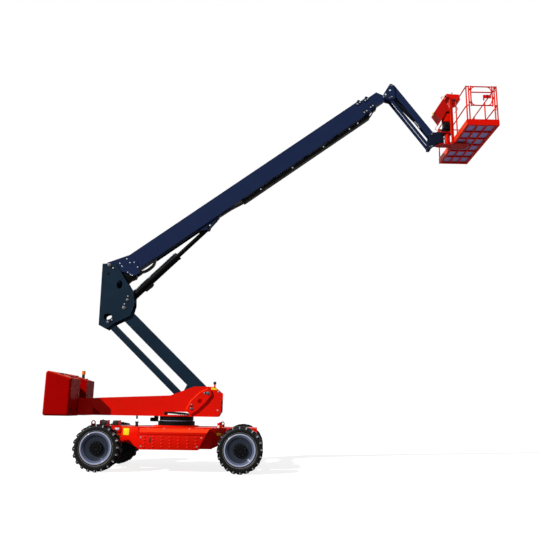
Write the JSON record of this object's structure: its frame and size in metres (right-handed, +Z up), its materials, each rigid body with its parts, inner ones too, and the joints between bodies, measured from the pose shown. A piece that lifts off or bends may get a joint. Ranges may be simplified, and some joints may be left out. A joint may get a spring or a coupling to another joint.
{
  "type": "articulating telescopic boom lift",
  "caption": "Self-propelled boom lift with riser, telescopic boom and jib that raise a railed work platform.",
  "frame": {"origin": "on the floor under the middle of the whole machine's box", "axes": "+X towards the platform, +Y to the machine's left, +Z up"},
  "size_m": [10.508, 2.48, 9.8685],
  "materials": {
    "red_paint": "gloss powder coat",
    "navy_paint": "gloss powder coat",
    "black_paint": "satin paint",
    "rim_paint": "satin paint",
    "tyre": "moulded rubber",
    "chrome": "hard chrome",
    "steel": "machined",
    "grey_paint": "galvanised grey",
    "black_plastic": "moulded",
    "amber_lens": "moulded lens"
  },
  "bodies": {
    "chassis": {"chassis_frame": "red_paint", "side_cover_right": "red_paint", "side_cover_left": "red_paint", "steer_axle": "black_paint", "drive_axle": "black_paint", "slew_ring_lower": "black_paint"},
    "turntable": {"turntable_frame": "red_paint", "slew_ring_upper": "black_paint", "slew_motor": "black_paint", "counterweight": "red_paint", "beacon_base": "black_plastic", "beacon_lens": "amber_lens"},
    "platform": {"platform_support": "red_paint", "platform_floor": "red_paint", "floor_panel": "grey_paint", "platform_rails": "red_paint", "console": "red_paint", "tool_box": "red_paint"},
    "gate": {"platform_gate": "red_paint"},
    "boom_base": {"boom_base": "navy_paint", "cable_tray": "black_plastic"},
    "wheel_steer_right": {"tyre_steer_right": "tyre", "rim_steer_right": "rim_paint"},
    "wheel_steer_left": {"tyre_steer_left": "tyre", "rim_steer_left": "rim_paint"},
    "wheel_drive_right": {"tyre_drive_right": "tyre", "rim_drive_right": "rim_paint"},
    "wheel_drive_left": {"tyre_drive_left": "tyre", "rim_drive_left": "rim_paint"},
    "knuckle_right": {"knuckle_right": "black_paint"},
    "knuckle_left": {"knuckle_left": "black_paint"},
    "tie_rod": {"tie_rod": "steel"},
    "riser_arm": {"riser_arm": "navy_paint"},
    "riser_link": {"riser_link": "navy_paint"},
    "riser_cylinder_barrel": {"riser_cylinder_barrel": "black_paint"},
    "riser_cylinder_rod": {"riser_cylinder_rod": "chrome"},
    "upright": {"upright": "navy_paint"},
    "boom_mid": {"boom_mid": "navy_paint"},
    "boom_fly": {"boom_fly": "navy_paint"},
    "boom_cylinder_barrel": {"boom_cylinder_barrel": "black_paint"},
    "boom_cylinder_rod": {"boom_cylinder_rod": "chrome"},
    "jib_head": {"jib_head": "navy_paint"},
    "jib_arm": {"jib_arm": "navy_paint"},
    "jib_link": {"jib_link": "navy_paint"},
    "jib_cylinder_barrel": {"jib_cylinder_barrel": "black_paint"},
    "jib_cylinder_rod": {"jib_cylinder_rod": "chrome"},
    "jib_tip": {"jib_tip": "navy_paint"}
  },
  "joints": [
    {"name": "turntable_swing", "type": "hinge", "parent": "chassis", "child": "turntable", "pos_m": [-2.40395, 0, 1.18], "axis": [0, 0, 1], "continuous": true},
    {"name": "steer_left", "type": "hinge", "parent": "chassis", "child": "knuckle_left", "pos_m": [-3.95395, 0.782, 0.5], "axis": [0, 0, 1], "range_deg": [-32, 32]},
    {"name": "steer_right", "type": "hinge", "parent": "chassis", "child": "knuckle_right", "pos_m": [-3.95395, -0.782, 0.5], "axis": [0, 0, 1], "range_deg": [-32, 32]},
    {"name": "tie_rod_swing", "type": "hinge", "parent": "knuckle_left", "child": "tie_rod", "pos_m": [-4.14395, 0.782, 0.5], "axis": [0, 0, 1], "range_deg": [-32, 32]},
    {"name": "wheel_steer_right_spin", "type": "hinge", "parent": "knuckle_right", "child": "wheel_steer_right", "pos_m": [-3.95395, -1.05, 0.5], "axis": [0, 1, 0], "continuous": true},
    {"name": "wheel_steer_left_spin", "type": "hinge", "parent": "knuckle_left", "child": "wheel_steer_left", "pos_m": [-3.95395, 1.05, 0.5], "axis": [0, 1, 0], "continuous": true},
    {"name": "wheel_drive_right_spin", "type": "hinge", "parent": "chassis", "child": "wheel_drive_right", "pos_m": [-0.85395, -1.05, 0.5], "axis": [0, 1, 0], "continuous": true},
    {"name": "wheel_drive_left_spin", "type": "hinge", "parent": "chassis", "child": "wheel_drive_left", "pos_m": [-0.85395, 1.05, 0.5], "axis": [0, 1, 0], "continuous": true},
    {"name": "riser_lift", "type": "hinge", "parent": "turntable", "child": "riser_arm", "pos_m": [-1.66095, 0, 1.715], "axis": [0, 1, 0], "range_deg": [-41.3, 24.7]},
    {"name": "riser_link_swing", "type": "hinge", "parent": "turntable", "child": "riser_link", "pos_m": [-2.02695, 0, 1.359], "axis": [0, 1, 0], "range_deg": [-41.3, 24.7]},
    {"name": "upright_level", "type": "hinge", "parent": "riser_arm", "child": "upright", "pos_m": [-3.78386, 0, 3.71553], "axis": [0, 1, 0], "range_deg": [-24.7, 41.3]},
    {"name": "riser_cylinder_swing", "type": "hinge", "parent": "turntable", "child": "riser_cylinder_barrel", "pos_m": [-1.42095, 0, 1.284], "axis": [0, 1, 0], "range_deg": [-23.92, 14.5]},
    {"name": "riser_cylinder_stroke", "type": "slide", "parent": "riser_cylinder_barrel", "child": "riser_cylinder_rod", "axis": [-0.8987, 0, 0.4385], "range_m": [-0.23718, 0.14386]},
    {"name": "boom_lift", "type": "hinge", "parent": "upright", "child": "boom_base", "pos_m": [-4.21686, 0, 4.77753], "axis": [0, -1, 0], "range_deg": [-36.8, 31.2]},
    {"name": "telescope_mid", "type": "slide", "parent": "boom_base", "child": "boom_mid", "axis": [0.8007, 0, 0.599], "range_m": [0, 5]},
    {"name": "telescope_fly", "type": "slide", "parent": "boom_mid", "child": "boom_fly", "axis": [0.8007, 0, 0.599], "range_m": [0, 5]},
    {"name": "head_level", "type": "hinge", "parent": "boom_fly", "child": "jib_head", "pos_m": [2.72112, 0, 9.51447], "axis": [0, -1, 0], "range_deg": [-31.2, 36.8]},
    {"name": "boom_cylinder_swing", "type": "hinge", "parent": "boom_base", "child": "boom_cylinder_rod", "pos_m": [-1.83886, 0, 5.81253], "axis": [0, -1, 0], "range_deg": [-2.37, 2.71]},
    {"name": "boom_cylinder_stroke", "type": "slide", "parent": "boom_cylinder_rod", "child": "boom_cylinder_barrel", "axis": [-0.7026, 0, -0.7116], "range_m": [-0.62159, 0.52776]},
    {"name": "jib_lift", "type": "hinge", "parent": "jib_head", "child": "jib_arm", "pos_m": [2.89812, 0, 9.81647], "axis": [0, -1, 0], "range_deg": [-21.3, 113.7]},
    {"name": "jib_link_swing", "type": "hinge", "parent": "jib_head", "child": "jib_link", "pos_m": [2.84112, 0, 9.46147], "axis": [0, -1, 0], "range_deg": [-21.3, 113.7]},
    {"name": "jib_tip_level", "type": "hinge", "parent": "jib_arm", "child": "jib_tip", "pos_m": [3.90395, 0, 8.4472], "axis": [0, -1, 0], "range_deg": [-113.7, 21.3]},
    {"name": "jib_cylinder_swing", "type": "hinge", "parent": "jib_head", "child": "jib_cylinder_barrel", "pos_m": [2.94212, 0, 9.47847], "axis": [0, -1, 0], "range_deg": [-22.44, 117.61]},
    {"name": "jib_cylinder_stroke", "type": "slide", "parent": "jib_cylinder_barrel", "child": "jib_cylinder_rod", "axis": [0.6711, 0, -0.7414], "range_m": [-0.11515, 0.59301]},
    {"name": "platform_turn", "type": "hinge", "parent": "jib_tip", "child": "platform", "pos_m": [4.13195, 0, 8.2002], "axis": [0, 0, 1], "range_deg": [-80, 80]},
    {"name": "gate_swing", "type": "hinge", "parent": "platform", "child": "gate", "pos_m": [4.59795, -1.211, 8.1952], "axis": [0, 0, 1], "range_deg": [0, 90]}
  ],
  "couplings": [
    {"joint": "steer_right", "follows": "steer_left", "ratio": 1},
    {"joint": "tie_rod_swing", "follows": "steer_left", "ratio": -1},
    {"joint": "riser_link_swing", "follows": "riser_lift", "ratio": 1},
    {"joint": "upright_level", "follows": "riser_lift", "ratio": -1},
    {"joint": "riser_cylinder_swing", "follows": "riser_lift", "ratio": 0.567},
    {"joint": "riser_cylinder_stroke", "follows": "riser_lift", "m_per_rad": 0.32211},
    {"joint": "telescope_fly", "follows": "telescope_mid", "ratio": 1},
    {"joint": "head_level", "follows": "boom_lift", "ratio": -1},
    {"joint": "boom_cylinder_swing", "follows": "boom_lift", "ratio": -0.06},
    {"joint": "boom_cylinder_stroke", "follows": "boom_lift", "m_per_rad": 0.96},
    {"joint": "jib_link_swing", "follows": "jib_lift", "ratio": 1},
    {"joint": "jib_tip_level", "follows": "jib_lift", "ratio": -1},
    {"joint": "jib_cylinder_swing", "follows": "jib_lift", "ratio": 1.03},
    {"joint": "jib_cylinder_stroke", "follows": "jib_lift", "m_per_rad": 0.29631}
  ]
}
